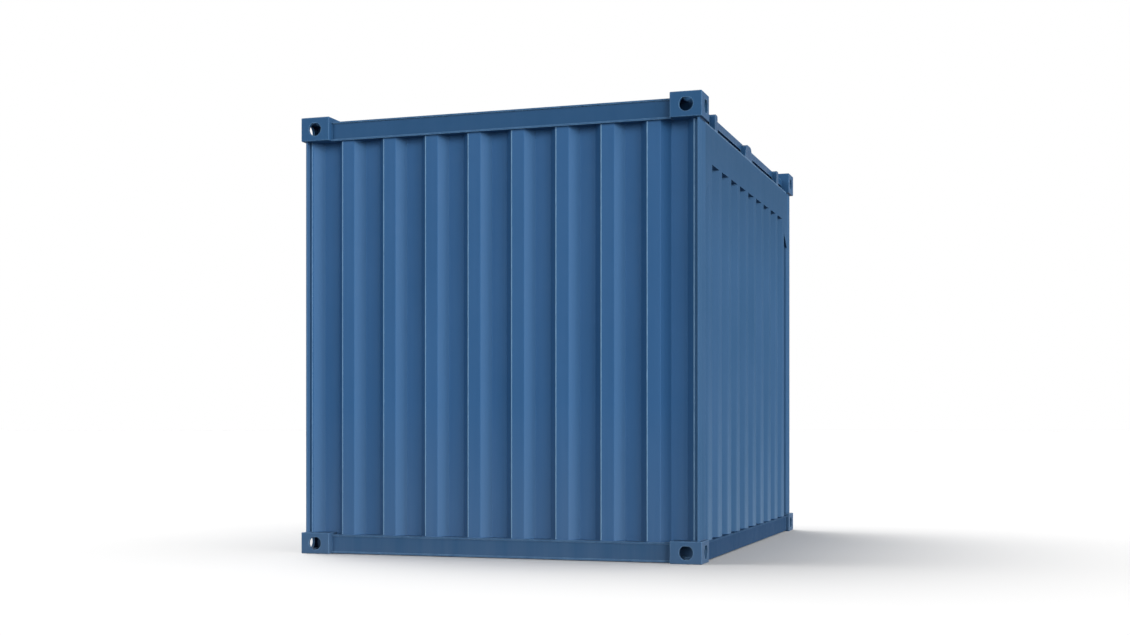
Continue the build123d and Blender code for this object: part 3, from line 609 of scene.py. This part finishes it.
# Guide rivets: low round steel heads at the corners of each bar guide, set
# through the guide into the door frame.
guide_face, guide_levels = 2.0, [382.0, 1533.0, 2264.0]
leaf_edge, leaf_width, bar_shares = 122.0, 1091.0, (0.42, 0.855)
bar_places = [leaf_edge + share * leaf_width for share in bar_shares]
rivet_places = [(across, lift) for across in (-23.0, 23.0) for lift in (-25.0, 25.0)]
rivet_head = [(6.0, -1.0), (6.0, 0.4), (4.2, 1.3), (1.5, 1.7)]
rivets = bmesh.new()
for side in sides:
    for bar in bar_places:
        for level in guide_levels:
            for across, lift in rivet_places:
                seat = from_corner("rear", side, [(guide_face, bar + across, level + lift)])[0]
                turned_head(rivets, seat, outwards, rivet_head, corners=16)
guide_rivets = made_piece("guide_rivets", rivets, gear_paint)


# Studio floor: a wide sheet of white paper that keeps the container's soft
# shadow. Mirrors see it as plain white, and it throws little light back up.
bright_white = (1.0, 1.0, 1.0, 1.0)
shadow_white = (0.70, 0.696, 0.692, 1.0)
dim_white = (0.22, 0.22, 0.22, 1.0)
floor_glow = 0.02
floor_reach = 400.0


def white_floor(name):
    paper, tree = bare_finish(name)
    link = tree.links.new
    out = add_node(tree, "OutputMaterial")
    matt = add_node(tree, "BsdfDiffuse", {"Color": dim_white})
    shaded = add_node(tree, "BsdfDiffuse", {"Color": shadow_white})
    glow = add_node(tree, "Emission", {"Color": bright_white, "Strength": floor_glow})
    shown = add_node(tree, "AddShader")
    link(shaded.outputs["BSDF"], shown.inputs[0])
    link(glow.outputs["Emission"], shown.inputs[1])
    white = add_node(tree, "Emission", {"Color": bright_white, "Strength": 1.0})
    ray = add_node(tree, "LightPath").outputs
    seen = add_node(tree, "MixShader")
    link(ray["Is Camera Ray"], seen.inputs["Fac"])
    link(matt.outputs["BSDF"], seen.inputs[1])
    link(shown.outputs["Shader"], seen.inputs[2])
    mirrored = add_node(tree, "MixShader")
    gloss = worked(tree, "MAXIMUM", ray["Is Glossy Ray"], ray["Is Transmission Ray"])
    link(gloss, mirrored.inputs["Fac"])
    link(seen.outputs["Shader"], mirrored.inputs[1])
    link(white.outputs["Emission"], mirrored.inputs[2])
    link(mirrored.outputs["Shader"], out.inputs["Surface"])
    return paper


floor_mesh = bpy.data.meshes.new("studio_floor")
floor_corners = [(x * floor_reach, y * floor_reach, 0.0) for x, y in ((-1, -1), (1, -1), (1, 1), (-1, 1))]
floor_mesh.from_pydata(floor_corners, [], [(0, 1, 2, 3)])
studio_floor = bpy.data.objects.new("studio_floor", floor_mesh)
bpy.context.scene.collection.objects.link(studio_floor)
floor_mesh.materials.append(white_floor("white_paper"))


# Surround: a plain white room. The camera and the mirrors see it as white, and
# it lights the container only a little.
sky_light = 0.12
surround = bpy.data.worlds.new("surround")
surround.use_nodes = True
tree = surround.node_tree
tree.nodes.clear()
link = tree.links.new
sky_out = add_node(tree, "OutputWorld")
soft_sky = add_node(tree, "Background", {"Color": bright_white, "Strength": sky_light})
white_sky = add_node(tree, "Background", {"Color": bright_white, "Strength": 1.0})
ray = add_node(tree, "LightPath").outputs
looked = worked(tree, "MAXIMUM", ray["Is Camera Ray"], ray["Is Glossy Ray"])
sky = add_node(tree, "MixShader")
link(worked(tree, "MAXIMUM", looked, ray["Is Transmission Ray"]), sky.inputs["Fac"])
link(soft_sky.outputs["Background"], sky.inputs[1])
link(white_sky.outputs["Background"], sky.inputs[2])
link(sky.outputs["Shader"], sky_out.inputs["Surface"])
bpy.context.scene.world = surround


# Lamps: a key and a raking lamp from the right of the closed end and a fill from
# its left shape the folds, a back lamp shows the doors and the left side, and the
# last three lay the shadow on the floor.
def soft_sun(name, towards, strength, spread, lit):
    lamp = bpy.data.lights.new(name, "SUN")
    lamp.energy = strength
    lamp.angle = math.radians(spread)
    sun = bpy.data.objects.new(name, lamp)
    sun.rotation_euler = Vector(towards).to_track_quat("-Z", "Y").to_euler()
    bpy.context.scene.collection.objects.link(sun)
    receivers = bpy.data.collections.new(name + "_lit")
    for piece in lit:
        receivers.objects.link(piece)
    sun.light_linking.receiver_collection = receivers


pieces = [*node.values(), post_lips, frame_welds, wall_welds, hinge_bolts, guide_rivets]
soft_sun("fill", towards=(0.908, -0.330, -0.259), strength=1.55, spread=40.0, lit=pieces)
soft_sun("key", towards=(0.652, 0.724, -0.225), strength=1.9, spread=30.0, lit=pieces)
soft_sun("rake", towards=(0.237, 0.949, -0.208), strength=1.85, spread=25.0, lit=pieces)
soft_sun("back", towards=(-0.66, -0.52, -0.54), strength=2.7, spread=60.0, lit=pieces)
soft_sun("right_shade", towards=(-0.16, -0.46, -0.873), strength=3.2, spread=50.0, lit=[studio_floor])
soft_sun("left_shade", towards=(-0.04, 0.36, -0.933), strength=1.0, spread=46.0, lit=[studio_floor])
soft_sun("front_shade", towards=(-0.36, 0.0, -0.933), strength=0.5, spread=70.0, lit=[studio_floor])


# Camera: it stands level in front of the closed end, a little to the right, and
# its lens is shifted up so that the posts stay upright.
lens = bpy.data.cameras.new("camera")
lens.sensor_fit = "HORIZONTAL"
lens.sensor_width = 36.0
lens.lens = 47.697
lens.shift_y = 0.0983
lens.clip_end = 2000.0
camera = bpy.data.objects.new("camera", lens)
camera.location = (-9.4822, -3.0481, 0.7429)
camera.rotation_euler = (math.radians(90.0), 0.0, math.radians(-71.876))
bpy.context.scene.collection.objects.link(camera)
bpy.context.scene.camera = camera
bpy.context.scene.view_settings.view_transform = "Standard"
